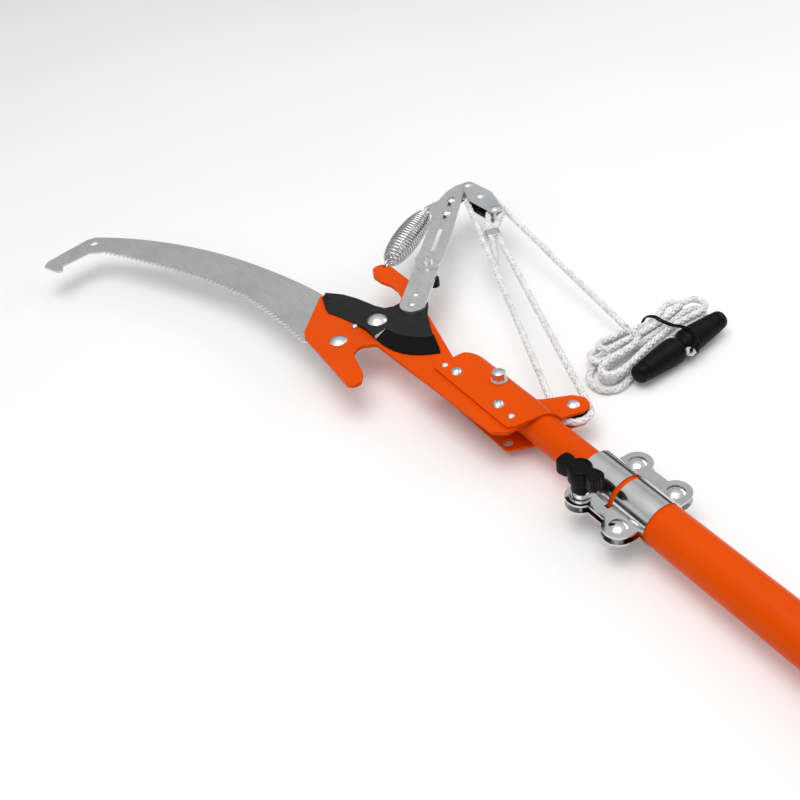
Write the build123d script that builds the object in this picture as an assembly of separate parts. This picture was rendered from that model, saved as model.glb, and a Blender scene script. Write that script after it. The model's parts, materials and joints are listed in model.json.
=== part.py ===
"""Telescoping pole saw: a curved saw, a rope-driven bypass cutter and a two-part pole.

Everything is drawn about the cutter's hook: x = 0 at the cutter pivot, +X down the pole
toward the handle, y = 0 and z = 0 on the pole's axis, +Z normal to the plates. place()
moves each finished sub-part to the model's frame, whose origin is the centre of the
outer pole's butt end.
"""

import os
from math import asin, atan2, cos, hypot, pi, sin, sqrt

from build123d import *

# ---- driving dimensions, mm -------------------------------------------------------
BUTT_X = 1600.0  # from the cutter pivot to the butt end of the outer pole

INNER_R = 12.7
INNER_WALL = 1.2
INNER_START = 88.0
INNER_LENGTH = 1350.0
OUTER_R = 16.0
OUTER_WALL = 1.2
OUTER_START = 244.0
CAP_THICKNESS = 6.0
CAP_PLUG = 22.0
BUSH_LENGTH = 30.0
FIT = 0.05  # running clearance on a radius
CLEAR = 0.2  # gap between plates that slide over each other

SAW_Z = (8.0, 9.8)
PLATE_Z = (9.8, 12.8)
CUTTER_Z = (13.0, 16.5)
LINK_Z = (16.5, 19.0)
BACKPLATE_Z = (17.0, 19.0)
LEVER_Z = (19.0, 21.0)
BLOCK_UPPER_Z = (23.7, 25.2)
BLOCK_LOWER_Z = (12.8, 14.3)

PIVOT = (0.0, -29.0)
SAW_BOLT = (-2.0, -66.0)
STOP_PIN = (-8.0, -46.4)
SPRING_HOLE = (-73.0, 23.0)
LEVER_BOLT = (-42.0, 49.0)
LINK_RIVETS = [(-7.0, 14.0), (3.0, 4.0)]
LEVER_SLOT = [(-54.0, 63.0), (-120.0, 129.0)]
SLOT_WIDTH = 4.2
LEVER_SCREWS = [(-100.0, 109.0), (-117.0, 126.0)]
SPRING_EAR = (-119.5, 102.2)
BUMPER = (-20.5, 41.5)

TIP_PIVOT = (-124.5, 151.0)
BLOCK_AXLE = (-98.5, 147.0)
BECKET = (-68.8, 142.4)
BLOCK_MID_Z = 19.0
BASE_AXLE = (181.0, 30.0)

PULLEY_R = 11.4
PULLEY_WIDTH = 8.0
ROPE_R = 3.0
ROPE_BEND = 12.6  # centreline radius of the rope round a pulley
WRAP_BEND = 12.4  # each bend of a wrap, a little under it so that short runs stay between
EYE_BEND = 6.2
DEAD_END_BEND = 5.0
GROOVE_R = 3.35
AXLE_R = 2.5
BASE_AXLE_R = 3.0

BRACKET_R = 12.8
BRACKET_T = 2.0
EAR_Z = 4.7
PAN_SCREWS = [(100.0, -18.0), (153.0, -17.0)]
BRACKET_RIVETS = [(87.0, -20.0), (170.0, -18.0)]
FLANGE_BOLT = (131.0, 0.0)
HANG_HOLE = (166.0, -20.0)
HANG_HOLE_R = 4.0
LOWEST_Z = -24.0

CLAMP_X = (242.0, 308.0)
CLAMP_R = 15.75
SEAT_R = 15.7  # outer tube under the clamp
SEAT_END = 310.0
CLAMP_T = 1.5
FLANGE_GAP = 2.5
LOBE_R = 11.0
LOBE_Y = 25.0
LOBE_X = (256.0, 293.5)
CLAMP_SLOT_X = (273.6, 277.6)
KNOB_TURN = 9.6  # how far the wings stand off the pole's direction, degrees

SPRING_WIRE_R = 0.8
SPRING_R = 12.2
SPRING_HOOK_R = 4.6
SPRING_LOW_Z = 11.3
SPRING_TOP_Z = 20.0

TOOTH_PITCH = 5.6
TOOTH_DEPTH = 4.8

HANK_Z = (-21.8, -3.0)
ROPE_LEAVES = (125.0, 135.0)  # where the free strand leaves the hank
SLEEVE_TOP = (-28.6, 112.3, 16.9)  # the rope's cut end, from the ferrule down
SLEEVE_LOW = (-18.9, 105.2, 2.5)
GRIP_ENDS = [(168.8, 102.3), (156.6, 204.0)]
GRIP_Z = -11.5
GRIP_R = 11.0


# ---- small helpers ----------------------------------------------------------------
def disc(centre, radius, z0, z1):
    """A cylinder along Z from z0 to z1."""
    height = z1 - z0
    return Pos(centre[0], centre[1], z0 + height / 2) * Cylinder(radius, height)


def plate(corners, z_range):
    """A flat plate; a corner is (x, y), or (x, y, radius) where it is rounded."""
    radii = [corner[2] if len(corner) > 2 else 0.0 for corner in corners]
    outline = FilletPolyline(*[corner[:2] for corner in corners], radius=radii, close=True)
    face = make_face(outline.edges())
    return Pos(0, 0, z_range[0]) * extrude(face, z_range[1] - z_range[0], dir=(0, 0, 1))


def curved_plate(curves, z_range):
    """A flat plate bounded by a closed chain of lines and splines."""
    edges = [edge for curve in curves for edge in curve.edges()]
    face = make_face(edges)
    return Pos(0, 0, z_range[0]) * extrude(face, z_range[1] - z_range[0], dir=(0, 0, 1))


def block_of(x_range, y_range, z_range):
    """A box between the given limits."""
    size = [r[1] - r[0] for r in (x_range, y_range, z_range)]
    middle = [(r[1] + r[0]) / 2 for r in (x_range, y_range, z_range)]
    return Pos(*middle) * Box(*size)


def dome(centre, radius, z, height, up=True):
    """A domed head whose flat side is at z."""
    ball = (radius**2 + height**2) / (2 * height)
    side = 1 if up else -1
    cap = Pos(centre[0], centre[1], z + side * (height - ball)) * Sphere(ball)
    limits = sorted([z, z + side * height])
    return cap & disc(centre, radius, limits[0], limits[1])


def hexagon(centre, across_flats, z0, z1, turn=0.0):
    """A hexagonal prism along Z."""
    side = RegularPolygon(across_flats / 2, 6, major_radius=False)
    return Pos(centre[0], centre[1], z0) * Rot(0, 0, turn) * extrude(side, z1 - z0)


def hull_plate(circles, z_range):
    """The plate that wraps a row of circles, each given as (centre, radius)."""
    shape = None
    for (a, ra), (b, rb) in zip(circles, circles[1:]):
        heading = atan2(b[1] - a[1], b[0] - a[0])
        lean = asin((ra - rb) / hypot(b[0] - a[0], b[1] - a[1]))
        corners = []
        for centre, radius, side in ((a, ra, 1), (b, rb, 1), (b, rb, -1), (a, ra, -1)):
            angle = heading + side * (pi / 2 - lean)
            corners.append((centre[0] + radius * cos(angle), centre[1] + radius * sin(angle)))
        strip = plate(corners, z_range)
        piece = strip + disc(a, ra, *z_range) + disc(b, rb, *z_range)
        shape = piece if shape is None else shape + piece
    return shape


def ring_tube(outer, inner, x0, x1):
    """A tube along the pole's axis."""
    shell = Cylinder(outer, x1 - x0) - Cylinder(inner, x1 - x0)
    return Pos((x0 + x1) / 2, 0, 0) * Rot(0, 90, 0) * shell


def cord(points, radii=(), radius=ROPE_R):
    """A round cord along straight runs joined by arcs."""
    path = FilletPolyline(*points, radius=radii) if radii else Line(*points)
    profile = Plane(origin=path @ 0, z_dir=path % 0) * Circle(radius)
    return sweep(profile, path=path)


def nut(centre, across_flats, z0, z1, hole):
    """A hexagonal nut with its hole."""
    return hexagon(centre, across_flats, z0, z1) - disc(centre, hole, z0, z1)


# ---- pole -------------------------------------------------------------------------
def outer_tube():
    bore = OUTER_R - OUTER_WALL
    seat = ring_tube(SEAT_R, bore, OUTER_START, SEAT_END)
    return seat + ring_tube(OUTER_R, bore, SEAT_END, BUTT_X - CAP_THICKNESS)


def butt_cap():
    lip = ring_tube(OUTER_R, 4.0, BUTT_X - CAP_THICKNESS, BUTT_X)
    plug = ring_tube(OUTER_R - OUTER_WALL - FIT, 11.0, BUTT_X - CAP_PLUG, BUTT_X - CAP_THICKNESS)
    return lip + plug


def front_bush():
    """Takes up the gap between the two tubes at the clamp."""
    return ring_tube(OUTER_R - OUTER_WALL - FIT, INNER_R + FIT, OUTER_START + 2, OUTER_START + 46)


def inner_tube():
    tube = ring_tube(INNER_R, INNER_R - INNER_WALL, INNER_START, INNER_START + INNER_LENGTH)
    return tube - disc(FLANGE_BOLT, 3.0, -20, 20)


def slide_bush():
    """Guides the inner tube's rear end inside the outer tube."""
    end = INNER_START + INNER_LENGTH
    return ring_tube(OUTER_R - OUTER_WALL - FIT, INNER_R, end - BUSH_LENGTH, end)


# ---- pole clamp -------------------------------------------------------------------
def clamp_half(up):
    """One pressed half: a half barrel with a flange of two lobes on each side."""
    flange = (FLANGE_GAP, FLANGE_GAP + CLAMP_T)
    half = ring_tube(CLAMP_R + CLAMP_T, CLAMP_R, *CLAMP_X)
    half &= block_of(CLAMP_X, (-30, 30), (FLANGE_GAP, 30))
    for side in (-1, 1):
        wing = block_of((CLAMP_X[0] + 3, CLAMP_X[1] - 3), sorted([side * 15, side * LOBE_Y]), flange)
        wing += block_of(LOBE_X, sorted([side * 15, side * (LOBE_Y + 3)]), flange)
        for x in LOBE_X:
            wing += disc((x, side * LOBE_Y), LOBE_R, *flange)
        wing -= Pos(275, 0, 0) * Rot(0, 90, 0) * Cylinder(CLAMP_R, 90)
        half += wing
    for x in LOBE_X:
        for side in (-1, 1):
            half -= disc((x, side * LOBE_Y), 3.05, *flange)
    if up:
        half -= block_of(CLAMP_SLOT_X, (-20, 10), (FLANGE_GAP, 30))
        return half
    return Rot(180, 0, 0) * half


def clamp_rivets():
    """Three shouldered rivets that hold the halves together."""
    spots = [(LOBE_X[1], -LOBE_Y), (LOBE_X[0], LOBE_Y), (LOBE_X[1], LOBE_Y)]
    outside = FLANGE_GAP + CLAMP_T
    rivets = []
    for spot in spots:
        rivet = disc(spot, 3.0, -outside, outside) + disc(spot, 5.0, -FLANGE_GAP, FLANGE_GAP)
        rivet += dome(spot, 6.4, outside, 2.0) + dome(spot, 6.4, -outside, 2.0, up=False)
        rivets.append(rivet)
    return Compound(rivets)


def clamp_bolt():
    spot = (LOBE_X[0], -LOBE_Y)
    outside = FLANGE_GAP + CLAMP_T
    return dome(spot, 7.0, -outside, 4.0, up=False) + disc(spot, 3.0, -outside, 24.0)


def clamp_collar():
    """Chromed domed washer under the knob."""
    spot = (LOBE_X[0], -LOBE_Y)
    base = FLANGE_GAP + CLAMP_T
    collar = disc(spot, 7.8, base, base + 1.2) + dome(spot, 7.0, base + 1.2, 4.4)
    return collar - disc(spot, 3.0, base, base + 6.0)


def clamp_knob():
    spot = (LOBE_X[0], -LOBE_Y)
    hub = disc(spot, 6.6, 9.8, 19.0) + disc(spot, 8.6, 18.5, 30.8)
    wing = Box(35.0, 12.0, 12.0)
    wing = fillet(wing.edges().filter_by(Axis.Z), 3.0)
    wing = Pos(spot[0], spot[1], 24.5) * Rot(0, 0, KNOB_TURN) * wing
    return hub + wing - disc(spot, 3.0 + FIT, 0, 26.0)


# ---- head: saw and hook plate ------------------------------------------------------
def tooth_line():
    """The curve that the tips of the saw's teeth follow."""
    return Spline(
        (-298.5, -168.5), (-267, -151.5), (-226, -132.5), (-180, -113.5),
        (-128, -97.5), (-80, -91), (-28, -89),
    )


def saw_teeth():
    """Tooth tips on the curve, gullets half a pitch on and one tooth deep."""
    line = tooth_line()
    count = int(line.length / TOOTH_PITCH)
    points = []
    for i in range(count):
        points.append(line @ (i / count))
        share = (i + 0.7) / count
        along = line % share
        points.append(line @ share + Vector(-along.Y, along.X) * TOOTH_DEPTH)
    points.append(line @ 1)
    return points


def saw_blade():
    teeth = saw_teeth()
    back = Spline(
        (-18, -41), (-78, -41), (-135, -54), (-184, -70), (-233, -92), (-295, -131), (-330, -162)
    )
    nose = Polyline((-330, -162), (-332, -170), (-327, -189), (-319, -216), (-312, -222), (-293, -215))
    barb = Polyline((-293, -215), (-292, -210), (-301, -207), (-306, -179), (-298.5, -168.5))
    heel = Polyline(teeth[-1], (-20, -83), (-4, -79), (10, -72), (13, -60), (8, -50), (-4, -43.5), (-18, -41))
    blade = curved_plate([back, nose, barb, Polyline(*teeth), heel], SAW_Z)
    blade -= disc((-320, -168), 4.0, *SAW_Z)
    blade -= disc(SAW_BOLT, 4.1, *SAW_Z)
    return blade - disc(STOP_PIN, 2.0, *SAW_Z)


def hook_plate():
    """Upper hook, spring finger and the tang that runs along the tube, in one plate."""
    tip = [(-72, -44, 3), (-32, -82), (-25, -85)]
    hook = [(60, -90.5, 6), (58.5, -79.5, 5), (50, -73, 5), (23, -66)]
    jaw = [(19, -61, 3), (18, -55, 3), (24, -45, 4), (106, -41)]
    tang = [(173, -38, 5), (181, -30, 2), (181, -9, 2), (84, -9, 4), (52, 0, 8), (16, 10)]
    finger = [(-37, 26.5), (-70, 26.8, 8), (-79, 22, 7), (-77.5, 12.5, 7), (-66, 6.5, 8), (-54, 7, 6)]
    inside = [(-43, 10.5), (-32, 10.5), (-21, 8, 3), (-13, 1, 3), (-8, -8, 3), (-19, -22, 3), (-54, -34)]
    shape = plate(tip + hook + jaw + tang + finger + inside, PLATE_Z)
    holes = [(PIVOT, 4.0), (SAW_BOLT, 4.1), (STOP_PIN, 2.0), (SPRING_HOLE, 2.2)]
    holes += [(spot, 2.5) for spot in PAN_SCREWS]
    holes += [(spot, 1.6) for spot in BRACKET_RIVETS]
    for centre, radius in holes:
        shape -= disc(centre, radius, *PLATE_Z)
    return shape


def saw_bolt():
    return dome(SAW_BOLT, 7.5, PLATE_Z[1], 2.6) + disc(SAW_BOLT, 4.0, 2.0, PLATE_Z[1])


def saw_nut():
    return nut(SAW_BOLT, 12.0, SAW_Z[0] - 5.0, SAW_Z[0], 4.0)


def stop_pin():
    shank = disc(STOP_PIN, 2.0, SAW_Z[0], PLATE_Z[1])
    collar = disc(STOP_PIN, 2.6, PLATE_Z[1], PLATE_Z[1] + 1.6)
    tail = dome(STOP_PIN, 3.2, SAW_Z[0], 1.4, up=False)
    return shank + collar + dome(STOP_PIN, 2.6, PLATE_Z[1] + 1.6, 1.8) + tail


def pivot_bolt():
    """Shouldered bolt that the cutter turns on."""
    head = CUTTER_Z[1] + CLEAR
    return dome(PIVOT, 8.5, head, 3.6) + disc(PIVOT, 4.0, 3.0, head)


def pivot_nut():
    return nut(PIVOT, 13.0, PLATE_Z[0] - 6.0, PLATE_Z[0], 4.0)


# ---- bracket between head and pole -------------------------------------------------
def bracket_profile():
    """Flat web that bends round the tube and ends in a flat ear, seen along the pole."""
    inner = BRACKET_R
    outer = BRACKET_R + BRACKET_T
    ear_top = EAR_Z + BRACKET_T
    inner_end = (sqrt(inner**2 - EAR_Z**2), EAR_Z)
    outer_end = (sqrt(outer**2 - ear_top**2), ear_top)
    bend = pi / 3
    outline = [
        Line((-34, inner), (0, inner)),
        ThreePointArc((0, inner), (inner * cos(bend), inner * sin(bend)), inner_end),
        Polyline(inner_end, (44, EAR_Z), (44, ear_top), outer_end),
        ThreePointArc(outer_end, (outer * cos(bend), outer * sin(bend)), (0, outer)),
        Polyline((0, outer), (-34, outer), (-34, inner)),
    ]
    return make_face([edge for line in outline for edge in line.edges()])


def bracket_half(points, up):
    """The bent strip cut to its plan outline."""
    strip = Plane.YZ * bracket_profile()
    strip = Pos(70, 0, 0) * extrude(strip, 130, dir=(1, 0, 0))
    half = strip & plate(points, (0, 30))
    half -= disc(FLANGE_BOLT, 3.0, 0, 30)
    half -= disc(BASE_AXLE, BASE_AXLE_R, 0, 30)
    for spot in PAN_SCREWS:
        half -= disc(spot, 2.5, 0, 30)
    return half if up else mirror(half, about=Plane.XY)


EAR_POINTS = [
    (187, 12, 2), (192.4, 31, 6), (190, 39, 4), (180.5, 42, 5), (172, 36, 5), (162, 17, 3), (158, 12),
]


def bracket_upper():
    web = [(83, -28, 1), (178, -28, 1), (181, -22, 1), (184, 2)]
    half = bracket_half(web + EAR_POINTS + [(94, 12, 3), (86, 4, 2), (83, 0, 2)], True)
    for spot in BRACKET_RIVETS:
        half -= disc(spot, 1.6, 10, 20)
    return half


def bracket_lower():
    web = [(77, -25, 1), (172, -26, 5), (180, -7, 4), (184, 2)]
    half = bracket_half(web + EAR_POINTS + [(88, 12, 3), (77, 4, 3)], False)
    return half - disc(HANG_HOLE, HANG_HOLE_R, -20, -10)


def bracket_screws():
    """Pan-head cross-recess screws through the tang and both halves."""
    top = BRACKET_R + BRACKET_T
    screws = []
    for spot in PAN_SCREWS:
        head = dome(spot, 4.7, top, 2.8)
        for turn in (20, 110):
            head -= Pos(spot[0], spot[1], top + 2.8) * Rot(0, 0, turn) * Box(5.6, 1.4, 3.4)
        screws.append(head + disc(spot, 2.5, LOWEST_Z, top))
    return Compound(screws)


def bracket_nuts():
    low = -BRACKET_R - BRACKET_T
    return Compound([nut(spot, 8.0, low - 4.0, low, 2.5) for spot in PAN_SCREWS])


def bracket_spacers():
    """Sleeves that keep the lower half at its distance from the tang."""
    sleeves = []
    for spot in PAN_SCREWS:
        sleeves.append(disc(spot, 4.0, -BRACKET_R, PLATE_Z[0]) - disc(spot, 2.5, -BRACKET_R, PLATE_Z[0]))
    return Compound(sleeves)


def bracket_rivets():
    rivets = []
    for spot in BRACKET_RIVETS:
        rivet = disc(spot, 1.6, PLATE_Z[0], BRACKET_R + BRACKET_T)
        rivet += dome(spot, 2.7, BRACKET_R + BRACKET_T, 1.5)
        rivets.append(rivet + dome(spot, 2.7, PLATE_Z[0], 1.8, up=False))
    return Compound(rivets)


def flange_bolt():
    top = BRACKET_R + BRACKET_T
    head = disc(FLANGE_BOLT, 6.35, top, top + 1.5) + hexagon(FLANGE_BOLT, 9.6, top + 1.5, top + 8.2, 12)
    head += dome(FLANGE_BOLT, 4.4, top + 8.2, 1.0)
    return head + disc(FLANGE_BOLT, 3.0, LOWEST_Z, top)


def flange_nut():
    low = -BRACKET_R - BRACKET_T
    return nut(FLANGE_BOLT, 10.0, low - 5.0, low, 3.0)


# ---- pulleys ----------------------------------------------------------------------
def pulley(centre, middle_z, bore):
    wheel = disc(centre, PULLEY_R, middle_z - PULLEY_WIDTH / 2, middle_z + PULLEY_WIDTH / 2)
    wheel -= Pos(centre[0], centre[1], middle_z) * Torus(ROPE_BEND, GROOVE_R)
    return wheel - disc(centre, bore, middle_z - 10, middle_z + 10)


def base_axle():
    """Riveted axle through both ears."""
    outside = EAR_Z + BRACKET_T
    axle = disc(BASE_AXLE, BASE_AXLE_R, -outside, outside)
    return axle + dome(BASE_AXLE, 4.9, outside, 2.0) + dome(BASE_AXLE, 4.9, -outside, 2.0, up=False)


# ---- cutter and lever ---------------------------------------------------------------
def cutter_blade():
    """Tail, hub, curved cutting wing and the arm that carries the link."""
    tail = [(-65, -46), (-67, -41), (-54, -31), (-40, -25), (-19, -19), (-11, -15), (-8, -8), (-9, 14)]
    arm = [(-9, 14), (-4, 23), (9, 16), (21, 7), (47, -5), (70, -13)]
    edge = Spline((70, -13), (61, -27), (50, -36), (36, -41), (20, -42.3))
    lower = [(20, -42.3), (3, -42), (-12, -44), (-28, -48), (-42, -53), (-48, -52), (-65, -46)]
    blade = curved_plate([Polyline(*tail), Polyline(*arm), edge, Polyline(*lower)], CUTTER_Z)
    blade -= disc(PIVOT, 4.0 + FIT, *CUTTER_Z)
    for spot in LINK_RIVETS:
        blade -= disc(spot, 2.0, *CUTTER_Z)
    return blade


def lever_link():
    shape = hull_plate([((4, 4), 11.0), ((-47.5, 55.5), 11.0)], LINK_Z)
    shape -= disc(LEVER_BOLT, 4.0, *LINK_Z)
    for spot in LINK_RIVETS:
        shape -= disc(spot, 2.0, *LINK_Z)
    return shape


def link_rivets():
    rivets = []
    for spot in LINK_RIVETS:
        rivet = disc(spot, 2.0, CUTTER_Z[0], LINK_Z[1])
        rivets.append(rivet + dome(spot, 2.8, LINK_Z[1], 1.0))
    return Compound(rivets)


def slot_of(start, end, width, z_range):
    """An oblong hole between two points."""
    return hull_plate([(start, width / 2), (end, width / 2)], z_range)


def lever_plate():
    right = [(-30, 54, 4), (-36, 62, 3), (-76, 101), (-120, 142, 2), (-116, 150, 4), (-119, 158, 3)]
    tip = [(-126, 159.5), (-136, 160, 3), (-138, 145, 6), (-134, 131, 4), (-125.5, 117, 4)]
    ear = [(-125, 106, 2), (-124, 98.2, 3), (-108, 98.2, 4), (-88, 80)]
    foot = [(-61, 54, 5), (-53, 43, 6), (-40, 37, 6), (-30, 42, 5)]
    shape = plate(right + tip + ear + foot, LEVER_Z)
    shape -= disc(LEVER_BOLT, 4.0, *LEVER_Z)
    shape -= disc(TIP_PIVOT, AXLE_R + FIT, *LEVER_Z)
    shape -= disc(SPRING_EAR, 2.2, *LEVER_Z)
    shape -= slot_of(*LEVER_SLOT, SLOT_WIDTH, LEVER_Z)
    return shape


def lever_backplate():
    """Doubles the lever's upper half behind the slot."""
    shape = hull_plate([((-90, 99), 9.0), ((-120, 129), 9.0), (TIP_PIVOT, 7.6)], BACKPLATE_Z)
    shape -= disc(TIP_PIVOT, AXLE_R + FIT, *BACKPLATE_Z)
    for spot in LEVER_SCREWS:
        shape -= disc(spot, 2.0, *BACKPLATE_Z)
    return shape


def lever_bolt():
    head = disc(LEVER_BOLT, 5.0, LEVER_Z[1], LEVER_Z[1] + 2.6)
    head -= hexagon(LEVER_BOLT, 5.4, LEVER_Z[1] + 0.6, LEVER_Z[1] + 2.6)
    return head + disc(LEVER_BOLT, 4.0, 10.4, LEVER_Z[1])


def lever_nut():
    return nut(LEVER_BOLT, 12.0, LINK_Z[0] - 5.0, LINK_Z[0], 4.0)


def lever_screws():
    """Socket-head screws that set the lever's length along its slot."""
    screws = []
    for spot in LEVER_SCREWS:
        head = dome(spot, 4.3, LEVER_Z[1], 2.4)
        head -= hexagon(spot, 3.6, LEVER_Z[1] + 0.8, LEVER_Z[1] + 2.6)
        screws.append(head + disc(spot, 2.0, 12.4, LEVER_Z[1]))
    return Compound(screws)


def lever_screw_nuts():
    return Compound([nut(spot, 7.0, BACKPLATE_Z[0] - 3.2, BACKPLATE_Z[0], 2.0) for spot in LEVER_SCREWS])


def lever_bumper():
    """Rubber stop under the link."""
    return disc(BUMPER, 4.4, 9.0, LINK_Z[0])


# ---- pulley block at the lever's tip -------------------------------------------------
def block_plate(z_range):
    shape = hull_plate([(TIP_PIVOT, 5.9), (BLOCK_AXLE, 11.9), (BECKET, 6.3)], z_range)
    for centre, radius in ((TIP_PIVOT, AXLE_R), (BLOCK_AXLE, AXLE_R), (BECKET, ROPE_R)):
        shape -= disc(centre, radius, *z_range)
    return shape


def cross_pin(centre, radius, head):
    """A pin riveted over both plates of the block."""
    pin = disc(centre, radius, BLOCK_LOWER_Z[0], BLOCK_UPPER_Z[1])
    pin += dome(centre, head, BLOCK_UPPER_Z[1], 1.5)
    return pin + dome(centre, head, BLOCK_LOWER_Z[0], 1.5, up=False)


def block_spacers():
    """Washers that keep the lever midway between the block's plates."""
    gaps = [(LEVER_Z[1] + CLEAR, BLOCK_UPPER_Z[0]), (BLOCK_LOWER_Z[1], BACKPLATE_Z[0] - CLEAR)]
    return Compound([disc(TIP_PIVOT, 5.0, *gap) - disc(TIP_PIVOT, AXLE_R, *gap) for gap in gaps])


# ---- spring -------------------------------------------------------------------------
def spring_point(along):
    """A point on the spring's line, at a distance from its hole in the plate."""
    span = Vector(SPRING_EAR[0] - SPRING_HOLE[0], SPRING_EAR[1] - SPRING_HOLE[1])
    share = along / span.length
    rise = SPRING_LOW_Z + share * (SPRING_TOP_Z - SPRING_LOW_Z)
    return Vector(SPRING_HOLE[0] + share * span.X, SPRING_HOLE[1] + share * span.Y, rise)


def spring_span():
    return sqrt((SPRING_EAR[0] - SPRING_HOLE[0]) ** 2 + (SPRING_EAR[1] - SPRING_HOLE[1]) ** 2)


def hook_ring(along):
    """An upright wire eye whose middle is on the spring's line."""
    ring = Torus(SPRING_HOOK_R, SPRING_WIRE_R)
    centre = spring_point(along)
    side = Vector(SPRING_HOLE[1] - SPRING_EAR[1], SPRING_EAR[0] - SPRING_HOLE[0], 0)
    return Plane(origin=centre, z_dir=side.normalized()) * ring


def return_spring():
    """Barrel of close coils, drawn as its hollow outer shape, with the lower eye."""
    start = 2 * SPRING_HOOK_R + 1.0
    end = spring_span() - 2 * SPRING_HOOK_R - 1.4
    length = end - start
    outer = Spline((4.0, 0), (SPRING_R, length * 0.45), (4.4, length))
    inner = Spline((2.6, length), (SPRING_R - 1.5, length * 0.45), (2.2, 0))
    sides = [outer, Line((4.4, length), (2.6, length)), inner, Line((2.2, 0), (4.0, 0))]
    face = Plane.XZ * make_face([edge for line in sides for edge in line.edges()])
    barrel = revolve(face, Axis.Z)
    along = spring_point(end) - spring_point(start)
    barrel = Plane(origin=spring_point(start), z_dir=along.normalized()) * barrel
    neck = Plane(origin=spring_point(start - 1.6), z_dir=along.normalized())
    barrel += neck * (Pos(0, 0, 1.6) * Cylinder(2.9, 3.2))
    return barrel + hook_ring(SPRING_HOOK_R)


def spring_top_hook():
    return hook_ring(spring_span() - SPRING_HOOK_R)


# ---- rope ---------------------------------------------------------------------------
def rope_strand_to_base():
    """Dead-end strand, from the ferrule to the base pulley."""
    return cord([(-34.0, 120.65, 18.5), (185.0, 41.95, 0.0)])


def rope_base_wrap():
    """Round the base pulley: three bends that follow its groove."""
    points = [(185.3, 41.84, 0), (192.24, 39.35, 0), (194.63, 24.7, 0), (182.98, 15.51, 0), (176.1, 18.39, 0)]
    return cord(points, [WRAP_BEND] * 3)


def rope_strand_to_block():
    return cord([(175.8, 18.52, 0.0), (-103.1, 135.27, 19.0)])


def rope_block_wrap():
    points = [(-103.37, 135.38, 19), (-113.43, 139.59, 19), (-107.96, 160.72, 19), (-97.1, 159.52, 19)]
    return cord(points, [WRAP_BEND] * 2)


def rope_tail():
    """Free strand from the block down to the hank."""
    return cord([(-96.1, 159.4, 18.9), (118.5, 135.72, -9.3)])


def rope_eye():
    """Loop round the becket pin, both legs into the ferrule."""
    points = [(-47.2, 125.4, 18.5), (-66.55, 149.64, 19), (-74.36, 147.62, 19), (-75.9, 139.71, 19)]
    return cord(points + [(-49.3, 119.4, 18.5)], [EYE_BEND] * 3)


def rope_dead_end():
    return cord([(-36.0, 114.7, 18.4), SLEEVE_TOP, SLEEVE_LOW], [DEAD_END_BEND])


def end_sleeve():
    """Clear tube shrunk over the rope's cut end."""
    sleeve = cord([(-25.98, 110.38, 13.01), (-18.51, 104.92, 1.92)], radius=ROPE_R + 0.5)
    return sleeve - cord([SLEEVE_TOP, SLEEVE_LOW])


def rope_ferrule():
    """Pressed double barrel that grips both legs of the eye."""
    barrels = hull_plate([((-3.2, 0), 3.6), ((3.2, 0), 3.6)], (-6.0, 6.0))
    return Pos(-41.07, 119.8, 18.5) * Rot(0, 0, -19.6) * (Plane.YZ * barrels)


def rope_hank():
    """The coiled rope's outer shape, standing just clear of the grip."""
    left = [(114, 206, 5), (114, 180), (118, 156), (123, 135), (122, 108, 8), (130, 90, 8), (150, 69, 6)]
    right = [(168, 69, 5), (175, 80, 3), (171, 91, 3), (158, 96, 3), (152, 140), (146, 180), (140, 204, 4)]
    hank = plate(left + right + [(128, 212, 5)], HANK_Z) + disc(ROPE_LEAVES, 5.0, *HANK_Z)
    return fillet(hank.edges().group_by(Axis.Z)[-1], 2.5)


def grip_frame():
    """The grip's own frame: its middle, with Z along it."""
    ends = [Vector(x, y, GRIP_Z) for x, y in GRIP_ENDS]
    return Plane(origin=(ends[0] + ends[1]) * 0.5, x_dir=(0, 0, 1), z_dir=(ends[1] - ends[0]).normalized())


def pull_grip():
    """Two tapered halves that meet in a neck, with a cross hole for the rope."""
    half = sqrt((GRIP_ENDS[1][0] - GRIP_ENDS[0][0]) ** 2 + (GRIP_ENDS[1][1] - GRIP_ENDS[0][1]) ** 2) / 2
    side = [
        (0, 0), (7.5, 0), (7.5, 2.0), (GRIP_R, 6.0), (GRIP_R, 14.0), (8.0, half - 2), (6.0, half), (0, half),
    ]
    outline = FilletPolyline(*side, radius=[0, 0, 1.0, 2, 20, 1.5, 1, 0], close=True)
    upper = revolve(Plane.XZ * make_face(outline.edges()), Axis.Z)
    grip = upper + mirror(upper, about=Plane.XY)
    grip -= Rot(90, 0, 0) * Cylinder(ROPE_R + 0.4, 30)
    return grip_frame() * grip


def grip_rope():
    """The rope's end through the grip, with its stopper knot outside."""
    middle = Vector((GRIP_ENDS[0][0] + GRIP_ENDS[1][0]) / 2, (GRIP_ENDS[0][1] + GRIP_ENDS[1][1]) / 2, GRIP_Z)
    across = Vector(0.993, 0.117, 0)
    start = middle - across * 10.5
    stem = cord([tuple(start), tuple(middle + across * 9.0)])
    return stem + Pos(*(middle + across * 12.6)) * Sphere(4.6)


def twist_tie():
    """Plastic-coated wire round the hank and the grip."""
    section = Plane(origin=(113.5, 164, 0), x_dir=(0.993, 0.117, 0), z_dir=(0.117, -0.993, 0))
    outside = [(0, -23.9, 3), (61.6, -23.9, 3), (61.6, 1.8, 4), (44, 1.8, 3), (30, -0.8, 3), (0, -0.8, 4)]
    inside = [(1.2, -22.8, 2), (60.4, -22.8, 2), (60.4, 0.6, 3), (44.4, 0.6, 2), (30.2, -2, 2), (1.2, -2, 3)]
    return section * (plate(outside, (-1, 1)) - plate(inside, (-1, 1)))


# ---- export -------------------------------------------------------------------------
def place(shape):
    """Moves a finished sub-part to the model's frame."""
    return Pos(-BUTT_X, 0, 0) * shape


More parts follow.
